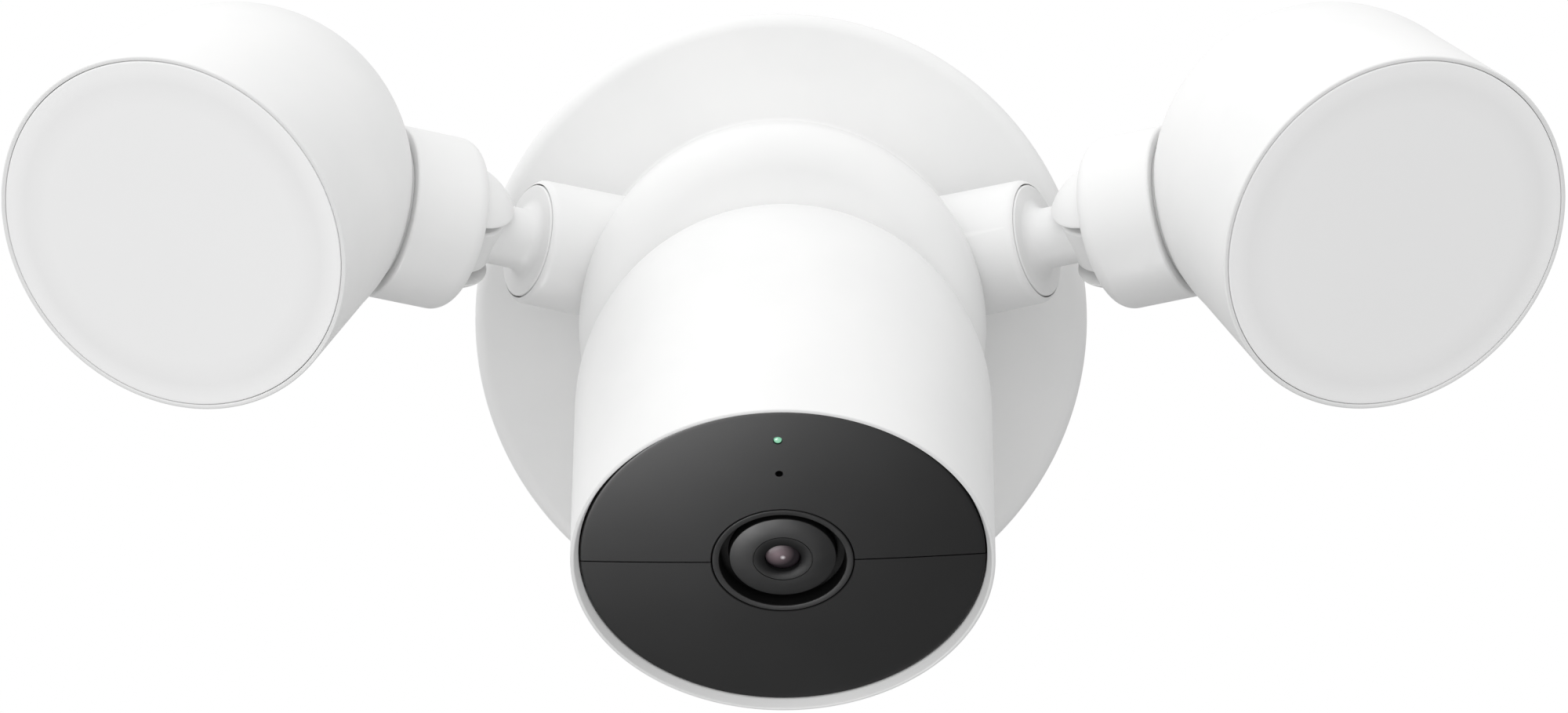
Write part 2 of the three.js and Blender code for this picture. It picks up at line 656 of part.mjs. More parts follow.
function lensBezel() {
  const inner = LENS.cover + GAP;
  const wellFloor = LENS.front - 1;
  const chamfer = 0.2;
  return revolve([
    [inner, WINDOW.back],
    [LENS.bezel, WINDOW.back],
    [LENS.bezel, LENS.front - chamfer],
    [LENS.bezel - chamfer, LENS.front],
    [LENS.well, LENS.front],
    [LENS.well - chamfer, wellFloor],
    [inner, wellFloor],
    [inner, WINDOW.back],
  ]);
}

// A shallow bowl that falls away from a ring about the glass, with a cone down to the glass.
function lensCover() {
  const hole = LENS.glass + GAP;
  return revolve([
    [hole, LENS_BACKS.cover],
    [LENS.cover, LENS_BACKS.cover],
    [LENS.cover, LENS.front - 1.3],
    [(LENS.cover + LENS.cone) / 2, LENS.front - 0.9],
    [LENS.cone, LENS.front - 0.7],
    [hole, LENS.front - 1.7],
    [hole, LENS_BACKS.cover],
  ]);
}

function lensGlass() {
  const shoulder = LENS.front - 2.9;
  return revolve([
    [0, LENS_BACKS.glass],
    [LENS.glass, LENS_BACKS.glass],
    [LENS.glass, shoulder],
    [LENS.glass * 0.8, shoulder + 0.6],
    [LENS.glass * 0.45, shoulder + 1.1],
    [0, shoulder + 1.3],
  ], SMALL);
}

function frontFrame() {
  const { back, front, lens, around } = FRONT_FRAME;
  const plate = ring(lens, SHELL_INSIDE - GAP, back, front);
  const hole = (radius, x, y) => disc(radius + around, back - 1, front + 1, TINY).translate(x, y, 0);
  const { across, up } = INFRARED;
  return cut(
    plate,
    hole(STATUS_LIGHT.radius, 0, STATUS_LIGHT_UP),
    hole(MICROPHONE.hole, 0, MICROPHONE_UP),
    hole(MOTION_SENSOR.radius, 0, -MOTION_SENSOR.down),
    hole(INFRARED.radius, across, up),
    hole(INFRARED.radius, -across, up),
  );
}

function addCameraOptics() {
  const barrel = ring(BARREL.inner, BARREL.outer, BARREL.back, BARREL.front, SMALL);
  const { halfWidth, halfHeight, back, front } = SENSOR;
  add(cameraFrame, "lens_bezel", lensBezel(), "black");
  add(cameraFrame, "lens_cover", lensCover(), "smoked");
  add(cameraFrame, "lens_glass", lensGlass(), "glass");
  add(cameraFrame, "lens_barrel", barrel, "black");
  const sensor = box(-halfWidth, halfWidth, -halfHeight, halfHeight, back, front);
  add(cameraFrame, "image_sensor", sensor, "smoked");
}

// The two boards, each cut away below for the speaker.
function addCameraBoards() {
  const speakerRoom = () => box(-40, 40, -40, SPEAKER.height + 2 - SHELL_INSIDE, 0, 35);
  const { radius, back, front } = MAIN_BOARD;
  const mainBoard = disc(radius, back, front, ROUND);
  const frontBoard = ring(FRONT_FRAME.lens, radius, FRONT_BOARD.back, FRONT_BOARD.front);
  add(cameraFrame, "main_board", cut(mainBoard, speakerRoom()), "board");
  add(cameraFrame, "front_board", cut(frontBoard, speakerRoom()), "board");
}

function addMicrophone() {
  const { halfWidth, halfHeight, back, front } = MICROPHONE;
  const capsule = box(-halfWidth, halfWidth, -halfHeight, halfHeight, back, front);
  add(cameraFrame, "microphone", capsule.translate(0, MICROPHONE_UP, 0), "steel");
}

function addSpeaker() {
  const { radius, height, along } = SPEAKER;
  const face = Math.sqrt(SHELL_INSIDE ** 2 - radius ** 2) - GAP;
  add(cameraFrame, "speaker", downwards(disc(radius, face - height, face), 0, along), "black");
}

function addCameraElectronics() {
  addCameraBoards();
  const lightPipe = disc(STATUS_LIGHT.radius, STATUS_LIGHT.back, crown(STATUS_LIGHT_UP), TINY);
  add(cameraFrame, "status_light", lightPipe.translate(0, STATUS_LIGHT_UP, 0), "signal");
  addMicrophone();
  const motion = disc(MOTION_SENSOR.radius, MOTION_SENSOR.back, MOTION_SENSOR.front);
  add(cameraFrame, "motion_sensor", motion.translate(0, -MOTION_SENSOR.down, 0), "steel");
  const { radius, across, up, back, front } = INFRARED;
  for (const [name, side] of SIDES) {
    const emitter = disc(radius, back, front, TINY).translate(across * side, up, 0);
    add(cameraFrame, `infrared_led_${name}`, emitter, "smoked");
  }
  addSpeaker();
}

// The reset button and the flange that keeps it in the shell.
function resetButton() {
  const face = CAMERA.radius - BUTTON.sink;
  const { radius, flange, flangeHeight, along } = BUTTON;
  const stop = SHELL_INSIDE - 0.5;
  const chamfer = 0.3;
  const body = revolve([
    [0, stop - flangeHeight],
    [flange, stop - flangeHeight],
    [flange, stop],
    [radius, stop],
    [radius, face - chamfer],
    [radius - chamfer, face],
    [0, face],
  ], SMALL);
  return downwards(body, 0, along);
}

function addCamera() {
  add(cameraFrame, "camera_shell", cameraShell(), "white");
  add(cameraFrame, "magnet_keeper", sphericalCap(KEEPER), "steel");
  add(cameraFrame, "keeper_carrier", sphericalCap(CARRIER), "black");
  add(cameraFrame, "front_frame", frontFrame(), "black");
  add(cameraFrame, "window_upper", windowHalf(1), "smoked");
  add(cameraFrame, "window_lower", windowHalf(-1), "smoked");
  addCameraOptics();
  addCameraElectronics();
  add(cameraFrame, "reset_button", resetButton(), "white");
}

// ---------------------------------------------------------------- the whole object
addBase();
for (const [name, side] of SIDES) {
  addArm(name, side);
  addHead(name, side);
}
addCamera();

export default model;
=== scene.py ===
import json
import math

import bmesh
import bpy
import numpy as np
from mathutils import Matrix, Vector


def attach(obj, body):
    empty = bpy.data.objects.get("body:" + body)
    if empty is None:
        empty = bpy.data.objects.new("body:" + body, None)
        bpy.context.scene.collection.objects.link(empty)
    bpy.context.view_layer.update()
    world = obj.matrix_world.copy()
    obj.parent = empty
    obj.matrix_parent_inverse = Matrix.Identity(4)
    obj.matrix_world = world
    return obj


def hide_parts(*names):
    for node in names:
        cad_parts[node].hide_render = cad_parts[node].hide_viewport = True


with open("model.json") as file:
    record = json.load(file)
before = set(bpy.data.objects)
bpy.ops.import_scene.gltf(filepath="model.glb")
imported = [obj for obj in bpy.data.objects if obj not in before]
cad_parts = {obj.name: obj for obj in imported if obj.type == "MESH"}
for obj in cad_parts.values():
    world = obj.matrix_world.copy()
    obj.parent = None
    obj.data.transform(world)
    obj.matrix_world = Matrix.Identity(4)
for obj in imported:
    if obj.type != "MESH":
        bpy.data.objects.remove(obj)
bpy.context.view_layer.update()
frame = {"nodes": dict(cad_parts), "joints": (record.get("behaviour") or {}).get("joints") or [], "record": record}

MM = 0.001
SIDES = ("right", "left")

# ---------------------------------------------------------------- sizes, as the CAD has them
WALL = 2.8
PLATE = dict(radius=63, back=0.6, front=22, edge=3)
HUB = dict(radius=41, front=65, shoulder=9, fillet=0.8)
BACK_COVER = dict(radius=43, back=8.7, front=11.2)
INLET = dict(up=22, radius=6.3)
BRACKET = dict(radius=50, thickness=1.6, ear=52.6, ear_half=6, tab_reach=16)
BRACKET_SLOT = dict(ring=40, half_length=7.3, half_width=2.3)
WIREWAY = dict(half_width=24, half_height=9, up=20)
BASE_SCREW = dict(angles=(-60, -120), height=9, hole=2.1, boss=5, boss_start=54.6)
COVER_POSTS = dict(angles=(90, 210, 330), ring=36.5, radius=3.6, front=27, hole=1.6)
GASKET = dict(inner=54.6, outer=59.8, thickness=2.4)
CAMERA = dict(radius=41.5, length=42.35, wall=2.6)
DISH = 42.0
WINDOW = dict(radius=39.6, edge=40.65, bulge=1.2, back=37.15)
LENS = dict(bezel=13.85, well=12.4, cover=10.45, cone=5.8, glass=3.4, front=41.75)
LENS_BACKS = dict(cover=37.65, glass=36.15)
STATUS_LIGHT = dict(up=32.05, radius=0.78, hole=0.95, back=29.5)
MICROPHONE = dict(up=23.5, hole=0.78)
BUTTON = dict(radius=2.2, flange=3.1, along=8, sink=0.3)
SOUND_HOLES = dict(radius=0.9, across=(-8, -4, 0, 4, 8), along=24)
BOSS = dict(tip=12.6, root=12.9, start=-24, edge=2, bore=10, bore_end=-12)
ARM = dict(cap=11.4, cap_depth=2.7, journal=6.9, stem=6.15, fillet=2.5, thread=4.5, end=-21)
SEAL_DEPTH = 1.3
PIN = dict(s=16.7, radius=2.5, head=3.6, head_height=3, top=11.5, bottom=-15.5)
TANG = dict(radius=9.7, half_thickness=5, collar=4.6)
NECK = dict(dome=12.95, rear=15.2, edge=3.5, radius=17.5, front=31.8, collar=15, end=41)
NECK_GROOVE = dict(radius=13.1, rear=36.7, front=38.8)
NECK_BORE = dict(radius=10.5, lead_hole=2.5, floor=3)
SLOT = dict(half_height=7.25, half_width=13, floor=27.2)
HEAD = dict(radius=35.3, face=37.3, depth=29, wall=2.5)
HEAD_ALONG = 64.05  # from the cap's face to the head's centre, along the arm
DIFFUSER = dict(radius=36, back=27.5, edge=29, crown=0.4, seat=25.8, seat_width=1.6)
GAP = 0.3

FULL_TURN = 192  # facets round a large piece
HALF_TURN = 96  # facets round a small piece


# ---------------------------------------------------------------- frames
def joint(name):
    return next(j for j in frame["joints"] if j["name"] == name)


def axes(origin, z, y_hint):
    """A matrix at origin whose +Z runs along z and whose +Y is as near to y_hint as it can be."""
    z = Vector(z).normalized()
    y = Vector(y_hint)
    y = (y - z * y.dot(z)).normalized()
    x = y.cross(z)
    basis = Matrix((x, y, z)).transposed().to_4x4()
    return Matrix.Translation(Vector(origin)) @ basis


def outward(side):
    return 1 if side == "right" else -1


def arm_frame(side):
    """+Z along the arm from the face of its cap, +Y along the knuckle pin."""
    swivel = joint(f"arm_swivel_{side}")
    pin = Vector(joint(f"knuckle_{side}")["axis"]) * -outward(side)
    return axes(swivel["pos_m"], Vector(swivel["axis"]) * outward(side), pin)


def face_normal(node):
    """The direction in which a flat round CAD node faces: the thinnest way through it, to the front."""
    points = np.array([v.co for v in frame["nodes"][node].data.vertices])
    _, _, ways = np.linalg.svd(points - points.mean(0))
    normal = Vector(ways[2])
    return normal if normal.y < 0 else -normal


UP = Vector((0, 0, 1))
WALL_FRAME = axes((0, 0, 0), (0, -1, 0), UP)
CAMERA_FRAME = axes(joint("camera_roll")["pos_m"], joint("camera_roll")["axis"],
                    joint("button_press")["axis"])
CAMERA_CENTRE = WALL_FRAME.inverted() @ CAMERA_FRAME.translation / MM
ARM_FRAMES = {side: arm_frame(side) for side in SIDES}
HEAD_FRAMES = {
    side: axes(joint(f"head_twist_{side}")["pos_m"], face_normal(f"diffuser_{side}"), UP)
    for side in SIDES
}


# ---------------------------------------------------------------- mesh making, in millimetres
def new_object(name, vertices, faces, place):
    mesh = bpy.data.meshes.new(name)
    mesh.from_pydata([Vector(v) * MM for v in vertices], [], faces)
    bm = bmesh.new()
    bm.from_mesh(mesh)
    bmesh.ops.remove_doubles(bm, verts=bm.verts, dist=1e-7)
    bmesh.ops.recalc_face_normals(bm, faces=bm.faces)
    bm.to_mesh(mesh)
    bm.free()
    piece = bpy.data.objects.new(name, mesh)
    bpy.context.scene.collection.objects.link(piece)
    piece.matrix_world = place
    return piece


def rounded(corners, steps=6):
    """A profile of (r, z) points. A corner given as (r, z, radius) is rounded with an arc."""
    out = []
    last = len(corners) - 1
    for i, corner in enumerate(corners):
        if len(corner) == 2 or i in (0, last):
            out.append(tuple(corner[:2]))
            continue
        here = Vector(corner[:2])
        before = Vector(corners[i - 1][:2]) - here
        after = Vector(corners[i + 1][:2]) - here
        turn = before.angle(after)
        reach = corner[2] / math.tan(turn / 2)
        reach = min(reach, before.length * 0.499, after.length * 0.499)
        radius = reach * math.tan(turn / 2)
        middle = (before.normalized() + after.normalized()).normalized()
        centre = here + middle * (radius / math.sin(turn / 2))
        start = here + before.normalized() * reach - centre
        sweep = start.angle_signed(here + after.normalized() * reach - centre)
        for k in range(steps + 1):
            spoke = Matrix.Rotation(-sweep * k / steps, 2) @ start
            out.append(tuple(centre + spoke))
    return out


def arc(centre_z, radius, start, end, steps=48):
    """Points of an arc about (0, centre_z) in the plane of r and z, angles in degrees."""
    angles = (math.radians(start + (end - start) * k / steps) for k in range(steps + 1))
    return [(max(radius * math.cos(a), 0), centre_z + radius * math.sin(a)) for a in angles]


def lathe(name, profile, place, segments=FULL_TURN):
    """A profile of (r, z) points turned about +Z. It starts and ends on the axis, or closes."""
    vertices = []
    rings = []
    for r, z in profile:
        if r < 1e-6:
            rings.append([len(vertices)])
            vertices.append((0, 0, z))
            continue
        rings.append(list(range(len(vertices), len(vertices) + segments)))
        for k in range(segments):
            a = 2 * math.pi * k / segments
            vertices.append((r * math.cos(a), r * math.sin(a), z))
    faces = []
    for low, high in zip(rings, rings[1:]):
        for k in range(segments):
            quad = [low[k % len(low)], low[(k + 1) % len(low)],
                    high[(k + 1) % len(high)], high[k % len(high)]]
            face = list(dict.fromkeys(quad))
            if len(face) > 2:
                faces.append(face)
    return new_object(name, vertices, faces, place)


def slab(name, outlines, place):
    """Closed solid through a stack of outlines, each a list of (x, y, z) of the same length."""
    count = len(outlines[0])
    vertices = [point for outline in outlines for point in outline]
    faces = []
    for level in range(len(outlines) - 1):
        low, high = level * count, (level + 1) * count
        for k in range(count):
            n = (k + 1) % count
            faces.append([low + k, low + n, high + n, high + k])
    faces.append(list(range(count))[::-1])
    faces.append([(len(outlines) - 1) * count + k for k in range(count)])
    return new_object(name, vertices, faces, place)


def soft_levels(low, high, edge, steps=4):
    """(height, inset) pairs for a slab whose top and bottom edges are rounded."""
    quarter = [math.radians(90 * k / steps) for k in range(steps + 1)]
    bottom = [(low + edge * (1 - math.sin(a)), edge * (1 - math.cos(a))) for a in quarter][::-1]
    top = [(high - edge * (1 - math.sin(a)), edge * (1 - math.cos(a))) for a in quarter]
    return bottom + top


def rounded_box(name, low, high, edge, place, corner=None, steps=5):
    """A box with rounded upright corners and rounded top and bottom edges."""
    corner = corner or edge
    outlines = []
    for z, inset in soft_levels(low[2], high[2], edge):
        ring = []
        for sx, sy, start in ((1, 1, 0), (-1, 1, 90), (-1, -1, 180), (1, -1, 270)):
            cx = (high[0] if sx > 0 else low[0]) - sx * corner
            cy = (high[1] if sy > 0 else low[1]) - sy * corner
            radius = corner - min(inset, corner * 0.95)
            shift = inset - (corner - radius)
            for k in range(steps + 1):
                a = math.radians(start + 90 * k / steps)
                x = cx - sx * shift + radius * math.cos(a)
                ring.append((x, cy - sy * shift + radius * math.sin(a), z))
        outlines.append(ring)
    return slab(name, outlines, place)


def apply_modifiers(piece):
    bpy.context.view_layer.update()
    evaluated = piece.evaluated_get(bpy.context.evaluated_depsgraph_get())
    mesh = bpy.data.meshes.new_from_object(evaluated)
    piece.modifiers.clear()
    old = piece.data
    piece.data = mesh
    bpy.data.meshes.remove(old)


def combine(piece, tools, operation):
    """Joins the tools to a piece, or cuts them out of it, and removes them."""
    for tool in tools:
        modifier = piece.modifiers.new("combine", "BOOLEAN")
        modifier.operation = operation
        modifier.solver = "EXACT"
        modifier.object = tool
    apply_modifiers(piece)
    for tool in tools:
        bpy.data.objects.remove(tool)
    return piece


def cut(piece, *tools):
    return combine(piece, tools, "DIFFERENCE")


def join(piece, *tools):
    return combine(piece, tools, "UNION")


def smooth(piece, angle=32):
    """Smooth shading that keeps the edges sharper than an angle, and faces of no area taken out."""
    bm = bmesh.new()
    bm.from_mesh(piece.data)
    bmesh.ops.remove_doubles(bm, verts=bm.verts, dist=2e-6)
    bmesh.ops.dissolve_degenerate(bm, edges=bm.edges, dist=1e-7)
    bm.to_mesh(piece.data)
    bm.free()
    piece.data.shade_smooth()
    piece.data.set_sharp_from_angle(angle=math.radians(angle))
    return piece


def tilted(place, degrees, axis="Z"):
    return place @ Matrix.Rotation(math.radians(degrees), 4, axis)


def moved(place, x=0, y=0, z=0):
    return place @ Matrix.Translation(Vector((x, y, z)) * MM)


def radial(place, degrees, height):
    """A frame whose +Z points out from the base's axis at an angle and a height."""
    return tilted(moved(tilted(place, degrees), z=height), 90, "Y")


def rod(name, radius, low, high, place, segments=48):
    """A plain round cutter along +Z."""
    return lathe(name, [(0, low), (radius, low), (radius, high), (0, high)], place, segments)


# ---------------------------------------------------------------- materials
def material(name, slot):
    """A material with its principled shader and the object's coordinates in metres."""
    made = bpy.data.materials.new(name)
    made.use_nodes = True
    nodes = made.node_tree.nodes
    nodes.clear()
    shader = nodes.new("ShaderNodeBsdfPrincipled")
    output = nodes.new("ShaderNodeOutputMaterial")
    made.node_tree.links.new(shader.outputs["BSDF"], output.inputs["Surface"])
    made["slot"] = slot
    return made, Nodes(made.node_tree, shader)


class Nodes:
    """Short names for the nodes that the materials share."""

    def __init__(self, tree, shader):
        self.tree = tree
        self.shader = shader
        self.coordinates = tree.nodes.new("ShaderNodeTexCoord").outputs["Object"]

    def link(self, source, target):
        self.tree.links.new(source, target)

    def noise(self, scale, detail=3, roughness=0.5):
        node = self.tree.nodes.new("ShaderNodeTexNoise")
        node.inputs["Scale"].default_value = scale
        node.inputs["Detail"].default_value = detail
        node.inputs["Roughness"].default_value = roughness
        self.link(self.coordinates, node.inputs["Vector"])
        return node.outputs["Fac"]

    def ramp(self, factor, low, high, start=0.0, end=1.0):
        """A colour ramp from low at start to high at end. Numbers make greys."""
        node = self.tree.nodes.new("ShaderNodeValToRGB")
        for stop, (place, value) in zip(node.color_ramp.elements, ((start, low), (end, high))):
            stop.position = place
            stop.color = (value, value, value, 1) if isinstance(value, (int, float)) else (*value, 1)
        self.link(factor, node.inputs["Fac"])
        return node.outputs["Color"]

    def span(self, factor, low, high, start=0.0, end=1.0):
        """A number that runs from low at start to high at end."""
        node = self.tree.nodes.new("ShaderNodeMapRange")
        limits = {"From Min": start, "From Max": end, "To Min": low, "To Max": high}
        for socket, value in limits.items():
            node.inputs[socket].default_value = value
        self.link(factor, node.inputs["Value"])
        return node.outputs["Result"]

    def mix(self, factor, a, b, blend="MIX"):
        node = self.tree.nodes.new("ShaderNodeMix")
        node.data_type = "RGBA"
        node.blend_type = blend
        for name, value in (("Factor", factor), ("A", a), ("B", b)):
            socket = node.inputs[name]
            if isinstance(value, (int, float)):
                socket.default_value = value
            elif isinstance(value, tuple):
                socket.default_value = (*value, 1)
            else:
                self.link(value, socket)
        return node.outputs["Result"]

    def from_axis(self, x=0, y=0):
        """Distance in metres from a line along the object's own +Z axis, through (x, y)."""
        flat = self.tree.nodes.new("ShaderNodeVectorMath")
        flat.operation = "MULTIPLY_ADD"
        flat.inputs[1].default_value = (1, 1, 0)
        flat.inputs[2].default_value = (-x, -y, 0)
        self.link(self.coordinates, flat.inputs[0])
        length = self.tree.nodes.new("ShaderNodeVectorMath")
        length.operation = "LENGTH"
        self.link(flat.outputs["Vector"], length.inputs[0])
        return length.outputs["Value"]

    def edges(self):
        """Near 1 on sharp outer edges, where a painted highlight goes, and 0 on flat surfaces."""
        geometry = self.tree.nodes.new("ShaderNodeNewGeometry")
        return self.span(geometry.outputs["Pointiness"], 0, 1, 0.52, 0.62)

    def bump(self, height, strength, distance):
        node = self.tree.nodes.new("ShaderNodeBump")
        node.inputs["Strength"].default_value = strength
        node.inputs["Distance"].default_value = distance
        self.link(height, node.inputs["Height"])
        return node.outputs["Normal"]

    def set(self, **inputs):
        """Sets the shader's sockets: an output is linked, and anything else is its value."""
        for name, value in inputs.items():
            socket = self.shader.inputs[name.replace("_", " ").title().replace("Ior", "IOR")]
            if isinstance(value, bpy.types.NodeSocket):
                self.link(value, socket)
            elif isinstance(value, tuple):
                socket.default_value = (*value, 1)
            else:
                socket.default_value = value


def white_plastic():
    """Matt white moulded plastic: a fine spark-eroded grain, a little unevenness in tone, and a painted highlight
    on its sharp edges.
    """
    made, n = material("white_plastic", "white_plastic")
    tone = n.ramp(n.noise(35, 4), (0.775, 0.777, 0.775), (0.805, 0.805, 0.802), 0.35, 0.65)
    # Sharp outer edges are painted lighter: a painted highlight along them.
    tone = n.mix(n.span(n.edges(), 0, 0.35), tone, (0.88, 0.88, 0.875))
    n.set(base_color=tone, roughness=n.span(n.noise(260, 3), 0.46, 0.56, 0.3, 0.7))
    n.set(normal=n.bump(n.noise(2600, 2), 0.12, 0.00006), specular_ior_level=0.45)
    return made


def smoked_window():
    """Dark smoked acrylic with a satin face and faint flow marks."""
    made, n = material("smoked_window", "smoked_window")
    tone = n.ramp(n.noise(25, 2), (0.0055, 0.0055, 0.0057), (0.007, 0.007, 0.0073), 0.3, 0.7)
    n.set(base_color=tone, roughness=n.span(n.noise(40, 2), 0.285, 0.315, 0.3, 0.7))
    n.set(normal=n.bump(n.noise(150, 2), 0.02, 0.00002), specular_ior_level=0.22)
    return made


def black_plastic():
    """Matt black plastic, which reflects next to nothing."""
    made, n = material("black_plastic", "black_plastic")
    tone = n.ramp(n.noise(90, 3), 0.003, 0.005, 0.3, 0.7)
    n.set(base_color=tone, roughness=n.span(n.noise(500, 3), 0.5, 0.6, 0.3, 0.7))
    n.set(normal=n.bump(n.noise(2400, 2), 0.08, 0.00004), specular_ior_level=0.06)
    return made


def lens_cover_plastic():
    """Dark grey plastic round the lens, turned with very fine rings and duller towards the glass."""
    made, n = material("lens_cover", "smoked_window")
    wave = n.tree.nodes.new("ShaderNodeMath")
    wave.operation = "SINE"
    turns = n.tree.nodes.new("ShaderNodeMath")
    turns.operation = "MULTIPLY"
    turns.inputs[1].default_value = 2 * math.pi / (0.35 * MM)
    n.link(n.from_axis(), turns.inputs[0])
    n.link(turns.outputs[0], wave.inputs[0])
    tone = n.ramp(n.noise(80, 2), (0.008, 0.008, 0.0083), (0.011, 0.011, 0.0114), 0.3, 0.7)
    gloss = n.span(n.from_axis(), 0.01, 0.19, 3.6 * MM, 6 * MM)
    n.set(base_color=tone, roughness=n.span(n.noise(300, 2), 0.34, 0.4, 0.3, 0.7))
    n.set(normal=n.bump(wave.outputs[0], 0.05, 0.00001), specular_ior_level=gloss)
    return made


def lens_coating():
    """Coated glass: near black, with a purplish painted reflection to one side and a small painted highlight at
    its heart.
    """
    made, n = material("lens_glass", "lens_glass")
    # A purplish painted reflection, brightest about a point off the axis.
    painted_reflection = n.span(n.from_axis(-1.1 * MM, 1 * MM), 1, 0, 0.3 * MM, 3.4 * MM)
    tone = n.mix(painted_reflection, (0.016, 0.012, 0.015), (0.24, 0.18, 0.2))
    # A small painted highlight at the middle of the glass.
    tone = n.mix(n.span(n.from_axis(), 1, 0, 0.1 * MM, 0.6 * MM), tone, (0.75, 0.7, 0.73))
    n.set(base_color=tone, roughness=n.span(n.noise(200, 2), 0.22, 0.28), specular_ior_level=0.08)
    return made


def frosted_diffuser():
    """Frosted polycarbonate: a soft grain, a duller ring at its edge where the reflector ends, and a faint painted
    glow.
    """
    made, n = material("frosted_diffuser", "frosted_diffuser")
    dull = n.span(n.from_axis(), 0, 1, 27 * MM, 31.5 * MM)
    rim = n.span(n.from_axis(), 0, 1, 32 * MM, 34.8 * MM)
    tone = n.mix(dull, (0.85, 0.85, 0.85), (0.815, 0.815, 0.815))
    tone = n.mix(rim, tone, (0.87, 0.87, 0.87))
    tone = n.mix(n.span(n.noise(45, 3), 0, 0.3, 0.3, 0.7), tone, (0.86, 0.86, 0.86))
    n.set(base_color=tone, roughness=n.span(n.noise(900, 2), 0.5, 0.62, 0.3, 0.7))
    # A faint white glow over the whole diffuser: painted light, for light let through the frosted plastic.
    n.set(emission_color=(1, 1, 1), emission_strength=0.03)
    n.set(normal=n.bump(n.noise(3200, 2), 0.1, 0.00005))
    return made


def rubber():
    """Dull black rubber of the gaskets, the seals and the gland."""
    made, n = material("rubber", "rubber")
    n.set(base_color=n.ramp(n.noise(120, 4), 0.012, 0.022, 0.3, 0.7))
    n.set(roughness=n.span(n.noise(700, 3), 0.7, 0.85, 0.3, 0.7))
    n.set(normal=n.bump(n.noise(1500, 4), 0.2, 0.0001))
    return made


def zinc_steel():
    """Zinc-plated steel with cloudy spangle and fine scratches."""
    made, n = material("steel", "steel")
    cells = n.tree.nodes.new("ShaderNodeTexVoronoi")
    cells.inputs["Scale"].default_value = 240
    n.link(n.coordinates, cells.inputs["Vector"])
    tone = n.ramp(cells.outputs["Distance"], (0.5, 0.51, 0.53), (0.62, 0.63, 0.64), 0.2, 0.8)
    n.set(base_color=tone, metallic=1.0, roughness=n.span(n.noise(400, 5), 0.28, 0.46, 0.3, 0.7))
    n.set(normal=n.bump(n.noise(900, 5), 0.08, 0.00005))
    return made


def cast_aluminium():
    """Cast aluminium with a sandy skin."""
    made, n = material("aluminium", "aluminium")
    n.set(base_color=n.ramp(n.noise(300, 5), (0.56, 0.57, 0.58), (0.68, 0.68, 0.69), 0.3, 0.7))
    n.set(metallic=1.0, roughness=n.span(n.noise(700, 4), 0.45, 0.6, 0.3, 0.7))
    n.set(normal=n.bump(n.noise(1400, 4), 0.25, 0.0001))
    return made


def circuit_board():
    """Green solder mask over copper, which shows as a faint net of tracks."""
    made, n = material("circuit_board", "circuit_board")
    tracks = n.tree.nodes.new("ShaderNodeTexBrick")
    tracks.inputs["Scale"].default_value = 320
    tracks.inputs["Color1"].default_value = (0.012, 0.09, 0.04, 1)
    tracks.inputs["Color2"].default_value = (0.012, 0.075, 0.035, 1)
    tracks.inputs["Mortar"].default_value = (0.04, 0.17, 0.08, 1)
    n.link(n.coordinates, tracks.inputs["Vector"])
    n.set(base_color=tracks.outputs["Color"], roughness=n.span(n.noise(500, 3), 0.3, 0.42))
    return made


def reflector_white():
    """The glossy white plastic of the reflectors."""
    made, n = material("reflector_white", "reflector_white")
    n.set(base_color=n.ramp(n.noise(50, 3), (0.88, 0.88, 0.87), (0.92, 0.92, 0.91), 0.3, 0.7))
    n.set(roughness=n.span(n.noise(300, 3), 0.18, 0.26, 0.3, 0.7))
    return made


def phosphor():
    """The yellow phosphor over the LED emitters."""
    made, n = material("phosphor", "phosphor")
    n.set(base_color=n.ramp(n.noise(900, 4), (0.72, 0.5, 0.08), (0.85, 0.66, 0.16), 0.3, 0.7))
    n.set(roughness=n.span(n.noise(900, 3), 0.4, 0.6, 0.3, 0.7))
    return made


def green_light():
    """The status light: a bright green heart in a deeper green rim."""
    made, n = material("status_light", "status_light")
    glow = n.ramp(n.from_axis(), (0.3, 0.66, 0.45), (0.02, 0.2, 0.09), 0.00042, 0.00074)
    n.set(base_color=(0.02, 0.1, 0.05), emission_color=glow, emission_strength=0.85)
    n.set(roughness=n.span(n.noise(600, 2), 0.2, 0.3))
    return made


MATERIALS = {
    "white_plastic": white_plastic(),
    "smoked_window": smoked_window(),
    "black_plastic": black_plastic(),
    "lens_cover": lens_cover_plastic(),
    "lens_glass": lens_coating(),
    "frosted_diffuser": frosted_diffuser(),
    "rubber": rubber(),
    "steel": zinc_steel(),
    "aluminium": cast_aluminium(),
    "circuit_board": circuit_board(),
    "reflector_white": reflector_white(),
    "phosphor": phosphor(),
    "status_light": green_light(),
}


def finish_piece(piece, finish, body, *nodes, angle=32):
    """Shades a piece, gives it its material and its body, and hides the CAD nodes it stands for."""
    smooth(piece, angle)
    piece.data.materials.clear()
    piece.data.materials.append(MATERIALS[finish])
    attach(piece, body)
    if nodes:
        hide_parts(*nodes)
    return piece


# ---------------------------------------------------------------- wall base
def boss(side):
    """The arm's boss, which runs into the side of the hub."""
    tip = rounded([(BOSS["root"], BOSS["start"]), (BOSS["tip"], 0, BOSS["edge"]), (0, 0)], 10)
    return lathe("boss", [(0, BOSS["start"])] + tip, ARM_FRAMES[side], FULL_TURN)


def boss_bore(side):
    """The seat for the arm's cap, with a softened mouth, and the bore behind it."""
    seat = -ARM["cap_depth"] - GAP - SEAL_DEPTH
    mouth = ARM["cap"] + GAP
    journal = ARM["journal"] + GAP
    start, bore, end = BOSS["start"] - 3, BOSS["bore"], BOSS["bore_end"]
    soft = 0.35
    profile = [(0, start), (bore, start), (bore, end), (journal, end), (journal, seat), (mouth, seat),
               (mouth, -soft), (mouth + soft, 0.01), (mouth + soft, 1), (0, 1)]
    return lathe("bore", profile, ARM_FRAMES[side])


